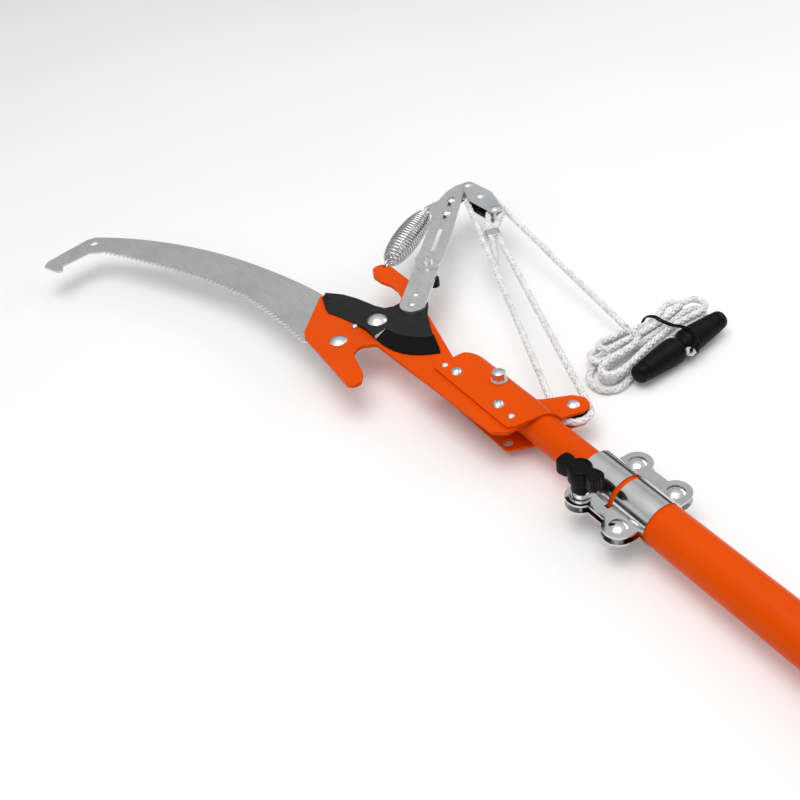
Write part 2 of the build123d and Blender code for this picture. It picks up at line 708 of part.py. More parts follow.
NODES = {
    "outer_tube": outer_tube, "butt_cap": butt_cap, "front_bush": front_bush,
    "inner_tube": inner_tube, "slide_bush": slide_bush,
    "clamp_upper": lambda: clamp_half(True), "clamp_lower": lambda: clamp_half(False),
    "clamp_rivets": clamp_rivets, "clamp_bolt": clamp_bolt, "clamp_collar": clamp_collar,
    "clamp_knob": clamp_knob,
    "saw_blade": saw_blade, "hook_plate": hook_plate, "saw_bolt": saw_bolt, "saw_nut": saw_nut,
    "stop_pin": stop_pin, "pivot_bolt": pivot_bolt, "pivot_nut": pivot_nut,
    "bracket_upper": bracket_upper, "bracket_lower": bracket_lower,
    "bracket_screws": bracket_screws, "bracket_nuts": bracket_nuts,
    "bracket_spacers": bracket_spacers, "bracket_rivets": bracket_rivets,
    "flange_bolt": flange_bolt, "flange_nut": flange_nut, "base_axle": base_axle,
    "base_pulley": lambda: pulley(BASE_AXLE, 0.0, BASE_AXLE_R + FIT),
    "cutter_blade": cutter_blade, "lever_link": lever_link, "link_rivets": link_rivets,
    "lever_plate": lever_plate, "lever_backplate": lever_backplate, "lever_bolt": lever_bolt,
    "lever_nut": lever_nut, "lever_screws": lever_screws, "lever_screw_nuts": lever_screw_nuts,
    "lever_bumper": lever_bumper,
    "block_plate_upper": lambda: block_plate(BLOCK_UPPER_Z),
    "block_plate_lower": lambda: block_plate(BLOCK_LOWER_Z),
    "tip_pivot": lambda: cross_pin(TIP_PIVOT, AXLE_R, 4.2),
    "block_axle": lambda: cross_pin(BLOCK_AXLE, AXLE_R, 4.2),
    "becket_pin": lambda: cross_pin(BECKET, ROPE_R, 4.6),
    "block_spacers": block_spacers,
    "block_pulley": lambda: pulley(BLOCK_AXLE, BLOCK_MID_Z, AXLE_R + FIT),
    "return_spring": return_spring, "spring_top_hook": spring_top_hook,
    "rope_strand_to_base": rope_strand_to_base, "rope_base_wrap": rope_base_wrap,
    "rope_strand_to_block": rope_strand_to_block, "rope_block_wrap": rope_block_wrap,
    "rope_tail": rope_tail, "rope_eye": rope_eye, "rope_dead_end": rope_dead_end,
    "end_sleeve": end_sleeve, "rope_ferrule": rope_ferrule, "rope_hank": rope_hank,
    "pull_grip": pull_grip, "grip_rope": grip_rope, "twist_tie": twist_tie,
}

os.makedirs("parts", exist_ok=True)
for name, make in NODES.items():
    export_step(place(make()), f"parts/{name}.step")
print("nodes", len(NODES))
print("rope bends: pulleys", WRAP_BEND, "becket eye", EYE_BEND, "dead end", DEAD_END_BEND)
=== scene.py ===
"""Looks of a telescoping pole saw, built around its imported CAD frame."""

import json
import math

import bpy
import numpy as np
from mathutils import Matrix, Vector


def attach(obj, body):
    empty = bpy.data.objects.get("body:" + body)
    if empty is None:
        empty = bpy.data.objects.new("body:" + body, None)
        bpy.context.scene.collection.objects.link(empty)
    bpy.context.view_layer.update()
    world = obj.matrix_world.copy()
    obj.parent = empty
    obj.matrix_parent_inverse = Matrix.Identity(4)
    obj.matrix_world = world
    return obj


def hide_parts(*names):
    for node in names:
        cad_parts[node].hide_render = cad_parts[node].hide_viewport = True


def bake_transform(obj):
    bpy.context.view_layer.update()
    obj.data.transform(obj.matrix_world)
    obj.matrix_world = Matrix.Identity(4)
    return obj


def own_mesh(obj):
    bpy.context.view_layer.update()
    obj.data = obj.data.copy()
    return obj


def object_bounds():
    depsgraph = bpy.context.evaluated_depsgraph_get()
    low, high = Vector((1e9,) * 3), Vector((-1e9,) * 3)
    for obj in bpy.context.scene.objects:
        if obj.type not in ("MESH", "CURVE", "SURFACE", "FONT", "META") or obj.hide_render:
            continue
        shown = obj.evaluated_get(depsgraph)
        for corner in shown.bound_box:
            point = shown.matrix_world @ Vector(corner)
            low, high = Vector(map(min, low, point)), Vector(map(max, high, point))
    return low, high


# ---- sizes, in mm in the head's own drawing unless a name says otherwise ---------------
BUTT_X = 1600.0  # from the cutter's pivot to the pole's butt, the row frame's origin
MM = 0.001

BRAID_PITCH = 24.0  # one turn of a strand round the rope
BRAID_STEP = 0.9  # between rings along the rope
STRANDS_EACH_WAY = 4
STRAND_HALF_WIDTH = 1.3
STRAND_HALF_THICKNESS = 0.62
STRAND_CENTRE_R = 2.0  # strands weave between this plus and minus the next number
STRAND_WEAVE = 0.38
ROPE_CORE_R = 1.75
CUT_END_SCALE = 0.97  # the cut end is a little thinner, inside its clear sleeve

GRIP_NEAR = (168.8, 102.3)
GRIP_FAR = (156.6, 204.0)
GRIP_Z = -11.5
GRIP_R = 11.0

SPRING_HOLE = (-73.0, 23.0)
SPRING_EAR = (-119.5, 102.2)
SPRING_Z = (11.3, 20.0)
SPRING_WIRE_R = 1.05
SPRING_TURNS = 21
SPRING_MIDDLE_R = 11.15
SPRING_END_R = 3.6
HOOK_R = 4.2

KNOB_AT = (256.0, -25.0)
KNOB_TURN = math.radians(9.6)
KNOB_Z = (18.5, 30.5)
CUTTER_Z = (13.0, 16.5)

CAMERA_AT = (-0.9247, -0.3567, 0.5215)  # metres, in the row frame
CAMERA_RIGHT = (0.529, 0.8393, -0.1252)
CAMERA_UP = (-0.476, 0.4156, 0.775)
CAMERA_BACK = (0.7025, -0.3504, 0.6194)
CAMERA_LENS = 49.02
SENSOR = 36.0


# ---- frame ----------------------------------------------------------------------------
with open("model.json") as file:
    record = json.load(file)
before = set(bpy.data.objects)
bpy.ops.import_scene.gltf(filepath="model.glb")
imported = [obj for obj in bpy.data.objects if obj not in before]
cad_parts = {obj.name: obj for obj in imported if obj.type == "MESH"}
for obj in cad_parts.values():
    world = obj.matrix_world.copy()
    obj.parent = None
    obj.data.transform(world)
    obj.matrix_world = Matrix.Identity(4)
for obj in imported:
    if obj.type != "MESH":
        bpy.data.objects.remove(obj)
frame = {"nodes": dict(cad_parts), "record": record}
cad_box = [list(corner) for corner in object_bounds()]
scene = bpy.context.scene


def to_row(points):
    """An array of drawing points, in mm, as metres in the row frame."""
    return (np.asarray(points, float) - (BUTT_X, 0.0, 0.0)) * MM


# ---- camera, lights and floor -----------------------------------------------------------
def add_camera():
    lens = bpy.data.cameras.new("camera")
    lens.lens = CAMERA_LENS
    lens.sensor_width = SENSOR
    lens.clip_start, lens.clip_end = 0.01, 50.0
    camera = bpy.data.objects.new("camera", lens)
    turn = Matrix((CAMERA_RIGHT, CAMERA_UP, CAMERA_BACK)).transposed()
    camera.matrix_world = Matrix.Translation(CAMERA_AT) @ turn.to_4x4()
    scene.collection.objects.link(camera)
    scene.camera = camera


def add_area_light(name, place, aim, size, power):
    light = bpy.data.lights.new(name, "AREA")
    light.shape = "RECTANGLE"
    light.size, light.size_y = size
    light.energy = power
    holder = bpy.data.objects.new(name, light)
    holder.location = place
    holder.rotation_euler = (Vector(aim) - Vector(place)).to_track_quat("-Z", "Y").to_euler()
    scene.collection.objects.link(holder)


def add_world():
    """A bright tent for the eye, with a darker horizon band that shiny metal mirrors."""
    world = bpy.data.worlds.new("tent")
    scene.world = world
    world.use_nodes = True
    nodes, links = world.node_tree.nodes, world.node_tree.links
    background = nodes["Background"]
    coordinates = nodes.new("ShaderNodeTexCoord")
    split = nodes.new("ShaderNodeSeparateXYZ")
    ramp = nodes.new("ShaderNodeValToRGB")
    stops = [(0.0, 0.6), (0.46, 0.7), (0.50, 0.04), (0.60, 0.07), (0.68, 0.9), (0.80, 0.62), (1.0, 1.25)]
    while len(ramp.color_ramp.elements) < len(stops):
        ramp.color_ramp.elements.new(0.5)
    for element, (place, grey) in zip(ramp.color_ramp.elements, stops):
        element.position = place
        element.color = (grey, grey, grey, 1)
    half = nodes.new("ShaderNodeMapRange")
    half.inputs["From Min"].default_value = -1.0
    links.new(coordinates.outputs["Generated"], split.inputs[0])
    links.new(split.outputs["Z"], half.inputs["Value"])
    links.new(half.outputs["Result"], ramp.inputs["Fac"])
    path = nodes.new("ShaderNodeLightPath")
    mix = nodes.new("ShaderNodeMix")
    mix.data_type = "RGBA"
    mix.inputs["B"].default_value = (0.95, 0.95, 0.95, 1)
    links.new(path.outputs["Is Camera Ray"], mix.inputs["Factor"])
    links.new(ramp.outputs["Color"], mix.inputs["A"])
    links.new(mix.outputs["Result"], background.inputs["Color"])
    background.inputs["Strength"].default_value = 0.78


def add_floor(low):
    half = 9.0
    corners = [(-half, -half, 0), (half, -half, 0), (half, half, 0), (-half, half, 0)]
    mesh = bpy.data.meshes.new("floor")
    mesh.from_pydata(corners, [], [(0, 1, 2, 3)])
    floor = bpy.data.objects.new("floor", mesh)
    floor.location = (-0.8, 0, low)
    scene.collection.objects.link(floor)
    floor.data.materials.append(materials["floor"])


# ---- materials --------------------------------------------------------------------------
class Graph:
    """A material's nodes, with the few wirings that every finish here uses."""

    def __init__(self, name, metallic, roughness):
        self.material = bpy.data.materials.new(name)
        self.material.use_nodes = True
        self.nodes = self.material.node_tree.nodes
        self.links = self.material.node_tree.links
        self.shader = self.nodes["Principled BSDF"]
        self.shader.inputs["Metallic"].default_value = metallic
        self.shader.inputs["Roughness"].default_value = roughness
        self.coordinates = self.nodes.new("ShaderNodeTexCoord")

    def set(self, **values):
        for name, value in values.items():
            self.shader.inputs[name.replace("_", " ")].default_value = value

    def noise(self, scale, stretch=(1, 1, 1), turn=0.0, detail=4.0, roughness=0.55):
        """Noise in the object's own space; stretch above 1 packs it along that axis."""
        mapping = self.nodes.new("ShaderNodeMapping")
        mapping.inputs["Rotation"].default_value = (0, 0, turn)
        mapping.inputs["Scale"].default_value = stretch
        texture = self.nodes.new("ShaderNodeTexNoise")
        texture.inputs["Scale"].default_value = scale
        texture.inputs["Detail"].default_value = detail
        texture.inputs["Roughness"].default_value = roughness
        self.links.new(self.coordinates.outputs["Object"], mapping.inputs["Vector"])
        self.links.new(mapping.outputs["Vector"], texture.inputs["Vector"])
        return texture.outputs["Fac"]

    def ramp(self, value, stops):
        ramp = self.nodes.new("ShaderNodeValToRGB")
        while len(ramp.color_ramp.elements) < len(stops):
            ramp.color_ramp.elements.new(0.5)
        for element, (place, color) in zip(ramp.color_ramp.elements, stops):
            element.position = place
            element.color = (*color, 1)
        self.links.new(value, ramp.inputs["Fac"])
        return ramp.outputs["Color"]

    def between(self, value, low, high):
        span = self.nodes.new("ShaderNodeMapRange")
        span.inputs["From Min"].default_value = 0.3
        span.inputs["From Max"].default_value = 0.7
        span.inputs["To Min"].default_value = low
        span.inputs["To Max"].default_value = high
        self.links.new(value, span.inputs["Value"])
        return span.outputs["Result"]

    def color(self, socket):
        self.links.new(socket, self.shader.inputs["Base Color"])

    def rough(self, value, low, high):
        self.links.new(self.between(value, low, high), self.shader.inputs["Roughness"])

    def bump(self, *layers):
        """Layers of (height value, distance in mm) added one on another."""
        before = None
        for value, distance in layers:
            bump = self.nodes.new("ShaderNodeBump")
            bump.inputs["Distance"].default_value = distance * MM
            self.links.new(value, bump.inputs["Height"])
            if before is not None:
                self.links.new(before, bump.inputs["Normal"])
            before = bump.outputs["Normal"]
        self.links.new(before, self.shader.inputs["Normal"])


def orange_paint():
    paint = Graph("orange_paint", 0.0, 0.3)
    cloud = paint.noise(9)
    paint.color(paint.ramp(cloud, [(0.3, (0.65, 0.063, 0.0)), (0.55, (0.69, 0.07, 0.0)),
                                   (0.75, (0.73, 0.077, 0.0))]))
    paint.rough(paint.noise(60), 0.26, 0.36)
    paint.bump((paint.noise(900, detail=2), 0.018), (paint.noise(160, detail=2), 0.03))
    paint.set(Coat_Weight=0.02, Coat_Roughness=0.12, Specular_IOR_Level=0.05)
    return paint.material


def brushed(name, dark, light, rough, stretch, turn, grain):
    """Steel with fine lines along its heading, turn, and soft patches; grain is in mm."""
    steel = Graph(name, 1.0, rough)
    lines = steel.noise(70, stretch, turn, 6.0, 0.7)
    patches = steel.noise(25, detail=3)
    mixed = steel.nodes.new("ShaderNodeMath")
    mixed.operation = "MULTIPLY_ADD"
    mixed.inputs[1].default_value = 0.65  # the lines' share; the patches add the rest
    steel.links.new(lines, mixed.inputs[0])
    steel.links.new(steel.between(patches, 0.12, 0.24), mixed.inputs[2])
    steel.color(steel.ramp(mixed.outputs[0], [(0.36, (dark, dark, dark)), (0.62, (light, light, light))]))
    steel.rough(lines, rough - 0.06, rough + 0.08)
    steel.bump((lines, grain))
    return steel.material


def bright(name, grey, rough, grain=400, metallic=1.0, depth=0.02):
    """Plated or polished metal with faint clouds and fine scratches."""
    plate = Graph(name, metallic, rough)
    cloud = plate.noise(35, detail=3)
    low = tuple(0.86 * c for c in grey)
    plate.color(plate.ramp(cloud, [(0.35, low), (0.65, grey)]))
    plate.rough(plate.noise(90), max(0.03, rough - 0.05), rough + 0.06)
    plate.bump((plate.noise(grain, detail=2), depth))
    return plate.material


def black(name, grey, rough, grain, depth, shine=0.22, coat=0.0):
    """A dark finish with faint clouds and a fine grain; depth is in mm."""
    shade = Graph(name, 0.0, rough)
    cloud = shade.noise(40)
    dark = 0.7 * grey
    shade.color(shade.ramp(cloud, [(0.35, (dark, dark, dark)), (0.7, (grey, grey, 1.04 * grey))]))
    shade.rough(shade.noise(120), rough - 0.06, rough + 0.08)
    shade.bump((shade.noise(grain, detail=3), depth))
    shade.set(Coat_Weight=coat, Coat_Roughness=0.15, Specular_IOR_Level=shine)
    return shade.material


def rope_fibre():
    """White filaments: long fine streaks, with soft grey clouds of painted shade standing in for the shade
    between strands.
    """
    rope = Graph("white_rope", 0.0, 0.75)
    fibres = rope.noise(900, detail=2)
    cloud = rope.noise(180, detail=2)
    # the grey low end of this ramp is painted shade: it darkens the white rope in noise clouds, as shade
    # between strands would
    rope.color(rope.ramp(cloud, [(0.3, (0.62, 0.62, 0.62)), (0.62, (0.85, 0.85, 0.84))]))
    rope.bump((fibres, 0.16), (cloud, 0.12))
    rope.set(Sheen_Weight=0.25, Sheen_Roughness=0.4)
    return rope.material


def clear_sleeve():
    sleeve = Graph("clear_sleeve", 0.0, 0.25)
    cloud = sleeve.noise(200, detail=2)
    sleeve.color(sleeve.ramp(cloud, [(0.3, (0.8, 0.8, 0.79)), (0.7, (0.93, 0.93, 0.92))]))
    sleeve.bump((cloud, 0.06))
    sleeve.set(Transmission_Weight=0.2, IOR=1.4, Specular_IOR_Level=0.4)
    return sleeve.material


def floor_finish():
    floor = Graph("floor", 0.0, 0.55)
    cloud = floor.noise(1.5, detail=3)
    floor.color(floor.ramp(cloud, [(0.3, (0.88, 0.88, 0.88)), (0.7, (0.92, 0.92, 0.92))]))
    floor.bump((floor.noise(300), 0.05))
    floor.set(Specular_IOR_Level=0.2)
    return floor.material


saw_heading = math.radians(-25)
lever_heading = math.radians(47)
materials = {
    "orange_paint": orange_paint(),
    "saw_steel": brushed("saw_steel", 0.56, 0.68, 0.4, (1, 9, 1), saw_heading, 0.01),
    "lever_steel": brushed("lever_steel", 0.66, 0.8, 0.33, (1.5, 4, 1), lever_heading, 0.006),
    "black_steel": black("black_steel", 0.011, 0.4, 500, 0.03, 0.2),
    "chrome": bright("chrome", (0.74, 0.745, 0.75), 0.12),
    "zinc": bright("zinc", (0.78, 0.79, 0.8), 0.33, 250),
    "black_plastic": black("black_plastic", 0.002, 0.4, 700, 0.03, 0.12),
    "black_rubber": black("black_rubber", 0.004, 0.6, 500, 0.06),
    "white_rope": rope_fibre(),
    "clear_sleeve": clear_sleeve(),
    "spring_steel": bright("spring_steel", (0.66, 0.66, 0.67), 0.14, 300),
    "floor": floor_finish(),
}


def finish_nodes():
    """The CAD nodes that no piece replaces show the material of their slot."""
    for part in frame["record"]["subparts"]:
        node = frame["nodes"][part["node"]]
        node.data.materials.clear()
        node.data.materials.append(materials[part["material_slot"]])


# ---- mesh helpers -------------------------------------------------------------------------
def add_mesh(name, points, faces, slot, smooth=True, extra=()):
    """A piece from drawing points in mm, with its slot's material and any extra ones after it."""
    mesh = bpy.data.meshes.new(name)
    mesh.from_pydata(to_row(points).tolist(), [], faces)
    mesh.validate()
    mesh.materials.append(materials[slot])
    for material in extra:
        mesh.materials.append(material)
    for polygon in mesh.polygons:
        polygon.use_smooth = smooth
    piece = bpy.data.objects.new(name, mesh)
    scene.collection.objects.link(piece)
    return piece


def keep_sharp(piece, angle):
    """Edges over this angle, in degrees, stay sharp under smooth shading."""
    piece.data.set_sharp_from_angle(angle=math.radians(angle))


def nurbs_line(points):
    """The smooth line of a route, read from its NURBS spline, in drawing mm."""
    curve = bpy.data.curves.new("route", "CURVE")
    curve.dimensions = "3D"
    curve.resolution_u = 16
    spline = curve.splines.new("NURBS")
    spline.points.add(len(points) - 1)
    for control, point in zip(spline.points, points):
        control.co = (*point, 1.0)
    spline.order_u = 3
    spline.use_endpoint_u = True
    holder = bpy.data.objects.new("route", curve)
    mesh = bpy.data.meshes.new_from_object(holder)
    line = np.array([vertex.co for vertex in mesh.vertices], float)
    bpy.data.objects.remove(holder)
    bpy.data.curves.remove(curve)
    bpy.data.meshes.remove(mesh)
    return line


def even(line, step):
    """The line again, with its points a step apart."""
    runs = np.linalg.norm(np.diff(line, axis=0), axis=1)
    along = np.concatenate([[0], np.cumsum(runs)])
    wanted = np.linspace(0, along[-1], max(2, int(round(along[-1] / step)) + 1))
    return np.stack([np.interp(wanted, along, line[:, axis]) for axis in range(3)], axis=1), wanted


def carried_frames(line):
    """Normal and binormal at each point, carried along the line without twist."""
    tangents = np.gradient(line, axis=0)
    tangents /= np.linalg.norm(tangents, axis=1)[:, None]
    normal = np.cross(tangents[0], (0.3, 0.2, 1.0))
    normals = []
    for tangent in tangents:
        normal = normal - tangent * normal.dot(tangent)
        normal = normal / np.linalg.norm(normal)
        normals.append(normal)
    normals = np.array(normals)
    return normals, np.cross(tangents, normals)


def skin(rings):
    """The points of an array of rings (count, sides, 3), and faces over them, with both ends closed."""
    count, sides, _ = rings.shape
    faces = []
    for ring in range(count - 1):
        start = ring * sides
        for side in range(sides):
            after = (side + 1) % sides
            faces.append((start + side, start + after, start + sides + after, start + sides + side))
    faces.append(tuple(reversed(range(sides))))
    faces.append(tuple(range((count - 1) * sides, count * sides)))
    return rings.reshape(-1, 3), faces


def join_skins(parts):
    points, faces, offset = [], [], 0
    for part_points, part_faces in parts:
        points.append(part_points)
        faces += [tuple(index + offset for index in face) for face in part_faces]
        offset += len(part_points)
    return np.concatenate(points), faces


def round_tube(line, radius):
    """A tube of eight sides round a line."""
    normals, binormals = carried_frames(line)
    angles = np.linspace(0, 2 * math.pi, 8, endpoint=False)
    spokes = (
        normals[:, None, :] * np.cos(angles)[None, :, None]
        + binormals[:, None, :] * np.sin(angles)[None, :, None]
    )
    return skin(line[:, None, :] + spokes * radius)


def braid(line, scale=1.0):
    """Eight flat strands plaited one over one round a core."""
    line, along = even(line, BRAID_STEP)
    normals, binormals = carried_frames(line)
    parts = [round_tube(line, ROPE_CORE_R * scale)]
    weave = np.cos(2 * math.pi * STRANDS_EACH_WAY * along / BRAID_PITCH)
    angles = np.linspace(0, 2 * math.pi, 6, endpoint=False)
    for way in (1, -1):
        radius = scale * (STRAND_CENTRE_R + way * STRAND_WEAVE * weave)
        for strand in range(STRANDS_EACH_WAY):
            turn = way * 2 * math.pi * along / BRAID_PITCH + 2 * math.pi * strand / STRANDS_EACH_WAY
            out = normals * np.cos(turn)[:, None] + binormals * np.sin(turn)[:, None]
            middle = line + out * radius[:, None]
            heading = np.gradient(middle, axis=0)
            heading /= np.linalg.norm(heading, axis=1)[:, None]
            side = np.cross(heading, out)
            side /= np.linalg.norm(side, axis=1)[:, None]
            rings = middle[:, None, :] + scale * (
                side[:, None, :] * (STRAND_HALF_WIDTH * np.cos(angles))[None, :, None]
                + out[:, None, :] * (STRAND_HALF_THICKNESS * np.sin(angles))[None, :, None]
            )
            parts.append(skin(rings))
    return join_skins(parts)


def add_rope(name, route, body, node):
    """A run of braided rope on its route, in place of one CAD node, which it hides."""
    line = nurbs_line(route)
    points, faces = braid(line)
    piece = add_mesh(name, points, faces, "white_rope")
    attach(piece, body)
    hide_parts(node)
    return piece


# ---- rope ---------------------------------------------------------------------------------
DEAD_END_ROUTE = [(-34.0, 120.65, 18.5), (75.5, 81.2, 9.0), (185.0, 41.95, 0.0)]
BASE_ROUTE = [
    (185.0, 41.95, 0.0), (192.24, 39.35, 0.0), (194.63, 24.7, 0.0),
    (182.98, 15.51, 0.0), (176.0, 18.45, 0.0),
]
PULLED_ROUTE = [(176.0, 18.45, 0.0), (36.4, 76.9, 9.4), (-103.2, 135.3, 19.0)]
BLOCK_ROUTE = [
    (-103.2, 135.3, 19.0), (-113.43, 139.59, 19.0), (-107.96, 160.72, 19.0), (-96.5, 159.45, 18.95),
]
TAIL_ROUTE = [(-96.5, 159.45, 18.95), (14.0, 147.2, 3.8), (118.5, 135.72, -7.6)]
EYE_ROUTE = [
    (-36.5, 121.3, 18.5), (-47.2, 125.4, 18.5), (-61.9, 143.8, 18.9),
    (-65.7, 148.5, 19.0), (-71.3, 148.7, 19.0),
    (-75.2, 144.7, 19.0), (-74.8, 139.2, 19.0), (-70.1, 135.5, 18.9),
    (-49.3, 119.4, 18.5), (-38.0, 115.3, 18.5),
]
CUT_END_ROUTE = [(-38.0, 115.3, 18.5), (-28.6, 112.3, 16.9), (-18.9, 105.2, 2.5)]

TIE_MIDDLE = (132.0, 163.0)  # where the tie crosses the hank's line
BUNDLE = np.array((-0.119, 0.993, 0.0))  # the hank's and the grip's heading
ACROSS = np.array((0.993, 0.119, 0.0))


def bundle_point(along, across, z):
    """A point from the tie: along the hank away from the saw, then toward the grip."""
    return tuple(np.array((*TIE_MIDDLE, z)) + BUNDLE * along + ACROSS * across)


HANK_ROUTE = [
    # the tail dives over the top strand and turns to the first near bight
    (-29, -14, -7.6), (-29, -6, -4.6), (-30, 1, -6.5), (-38, 3, -8.6), (-50, 2.5, -9.3), (-62, 1.5, -9.5),
    (-74, 2, -9.5), (-81, 6.5, -10), (-80, 14, -10), (-72, 18, -9.8),
    (-62, 17.5, -9.5), (-50, 16, -9.2), (-30, 12, -9),
    # under the tie and round the big far bight
    (0, 9, -9.3), (18, 11, -8.6), (32, 13.5, -8.5), (42, 10.5, -8.5), (44, 3.5, -8.5), (41, -4.5, -8.5),
    (28, -6, -8.6), (12, -3.5, -9), (0, -3, -9.3), (-15, -4, -9.5), (-30, -5.5, -9.6),
    # upper left near bight
    (-46, -6, -8), (-56, -7, -8.4), (-60, -13, -8.6),
    (-56, -19.5, -9), (-44, -18.5, -9.6), (-28, -16.5, -11),
    (-12, -13, -13.5), (0, -12, -14.4),
    # small far bight on the left
    (12, -14, -13.6), (23, -18.3, -13), (29.9, -18.5, -13),
    (33.3, -15.1, -13), (33.3, -10.4, -13), (29.9, -7, -13),
    (23, -6.7, -13.2), (12, -6.5, -14),
    (0, -6, -14.4),
    # middle left near bight
    (-20, -6, -14.2), (-40, -4.5, -14), (-58, -4.3, -14), (-65.1, -4.5, -14.2),
    (-69.5, -8.9, -14.2), (-69.5, -15.1, -14.2), (-65.1, -19.5, -14.3), (-56, -19.5, -14.5),
    (-40, -18, -16), (-20, -15.5, -18.5), (0, -15, -19.5),
    # short far bight, lowest on the left
    (9, -18.3, -19.5), (15.1, -18.5, -19.5), (18, -15.6, -19.5), (18, -11.4, -19.5), (15.1, -8.5, -19.5),
    (9, -8.5, -19.5), (0, -9, -19.5), (-20, -10, -19.8),
    # the big near bight on the floor
    (-45, -13, -20.3), (-65, -13.5, -20.4), (-80, -8, -20.4),
    (-88, 4, -20.4), (-87, 17, -20.4), (-76, 23, -20.4),
    (-62, 20, -20.3), (-45, 16, -19.5), (-25, 13.5, -17), (0, 12, -14.5),
    # second far bight on the right
    (16, 13.5, -14.3), (30, 15, -14.2), (40, 11, -14.2),
    (40, 3, -14.2), (30, -1.5, -14.3), (14, -0.5, -14.4),
    (0, 0, -14.5), (-20, 0, -15), (-40, -1.5, -17),
    # inner near bight on the floor
    (-56, -3.5, -19.8), (-68, -3, -20.4), (-77, 3, -20.4),
    (-76, 12, -20.4), (-64, 13.5, -20.4), (-45, 10.5, -20.3),
    (-22, 9, -20), (0, 9, -19.5),
    # last far bight, then up into the grip's cross hole
    (14, 7.5, -19.6), (27, 4.5, -19.8), (34.7, 4.5, -19.8), (38.5, 8.3, -19.8), (38.5, 13.7, -19.8),
    (34.7, 17.5, -19.8), (24, 17.5, -19.8), (10, 16.5, -19.5),
    (0, 15.2, -18.8), (-5, 15, -17.6), (-10, 15, -15.6),
    (-13.5, 18.5, -13.7), (-13.5, 23, -12.9), (-13.5, 26, -12.6),
]


def add_ropes():
    dead_end = add_rope("rope_dead_end_run", DEAD_END_ROUTE, "falls", "rope_strand_to_base")
    pulled = add_rope("rope_pulled_run", PULLED_ROUTE, "falls", "rope_strand_to_block")
    tail = add_rope("rope_free_run", TAIL_ROUTE, "tail", "rope_tail")
    add_rope("rope_base_bend", BASE_ROUTE, "falls", "rope_base_wrap")
    add_rope("rope_block_bend", BLOCK_ROUTE, "block", "rope_block_wrap")
    add_rope("rope_becket_eye", EYE_ROUTE, "block", "rope_eye")
    line = nurbs_line(CUT_END_ROUTE)
    points, faces = braid(line, CUT_END_SCALE)
    cut_end = add_mesh("rope_cut_end", points, faces, "white_rope")
    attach(cut_end, "block")
    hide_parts("rope_dead_end")
    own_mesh(dead_end)
    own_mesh(pulled)
    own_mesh(tail)
    route = [bundle_point(*point) for point in HANK_ROUTE]
    add_rope("rope_coil", route, "head", "rope_hank")


# ---- grip, knot and tie -----------------------------------------------------------------------
def turned(profile, start, heading, sides, up):
    """A turned solid of (distance along, radius) pairs round a line; up is any other direction."""
    heading = np.array(heading, float)
    heading /= np.linalg.norm(heading)
    first = np.cross(heading, up)
    first /= np.linalg.norm(first)
    second = np.cross(first, heading)
    angles = np.linspace(0, 2 * math.pi, sides, endpoint=False)
    spokes = np.cos(angles)[:, None] * first + np.sin(angles)[:, None] * second
    rings = [np.array(start) + heading * along + spokes * radius for along, radius in profile]
    return skin(np.array(rings)[:, ::-1, :])


def grip_profile(half):
    """Half the grip, from its neck to its rounded end, ribbed between two smooth collars."""
    rib_from, rib_to, rib_pitch, rib_depth = 9.0, half - 9.5, 2.05, 0.45
    neck, end = 7.4, GRIP_R - 3.2
    profile = [(0.0, neck), (1.6, neck), (2.4, neck + 0.5)]
    profile += [(4.0, GRIP_R - 1.6), (5.6, GRIP_R - 0.4), (7.4, GRIP_R)]
    steps = int((rib_to - rib_from) / rib_pitch * 6)
    for step in range(steps + 1):
        along = rib_from + (rib_to - rib_from) * step / steps
        dip = rib_depth * (0.5 - 0.5 * math.cos(2 * math.pi * (along - rib_from) / rib_pitch))
        share = max(0.0, along - 14.0) / (half - 14.0)
        profile.append((along, GRIP_R + (end - GRIP_R) * share - dip))
    collar = [(8.6, 0.5), (8.0, -0.5), (7.2, -0.5), (6.6, 0.3)]
    collar += [(2.6, -0.1), (1.2, -0.9), (0.3, -2.4), (0.0, -4.0)]
    profile += [(half - back, end + step_out) for back, step_out in collar]
    return profile


def add_grip():
    near, far = np.array((*GRIP_NEAR, GRIP_Z)), np.array((*GRIP_FAR, GRIP_Z))
    half = np.linalg.norm(far - near) / 2
    side = grip_profile(half)
    profile = [(half - along, radius) for along, radius in reversed(side)]
    profile += [(half + along, radius) for along, radius in side[1:]]
    points, faces = turned(profile, near, far - near, 48, (0, 0, 1))
    grip = add_mesh("pull_grip_ribbed", points, faces, "black_plastic")
    keep_sharp(grip, 50)
    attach(grip, "head")
    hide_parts("pull_grip")
    middle = (near + far) / 2
    stem = nurbs_line([middle + ACROSS * 3.0, middle + ACROSS * 6.0, middle + ACROSS * 9.0])
    knot_turns = []
    for step in range(41):
        turn = 4 * math.pi * step / 40
        radius = 1.8 + 0.3 * math.cos(turn * 1.5)
        spot = middle + ACROSS * (9.2 + 3.2 * step / 40 + 0.5 * math.sin(1.5 * turn))
        spot = spot + BUNDLE * radius * math.cos(turn) + np.array((0, 0, radius * math.sin(turn)))
        knot_turns.append(spot)
    points, faces = join_skins([braid(stem, 0.95), braid(np.array(knot_turns), 0.7)])
    knot = add_mesh("rope_knot", points, faces, "white_rope")
    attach(knot, "head")
    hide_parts("grip_rope")


def closed_line(points, count):
    """A smooth closed line through points, as a Catmull-Rom loop."""
    points = np.array(points, float)
    out = []
    for index in range(len(points)):
        a, b, c, d = (points[(index + k - 1) % len(points)] for k in range(4))
        for step in range(count):
            t = step / count
            out.append(0.5 * (2 * b + (c - a) * t + (2 * a - 5 * b + 4 * c - d) * t * t
                              + (3 * b - a - 3 * c + d) * t ** 3))
    out.append(out[0])
    return np.array(out)


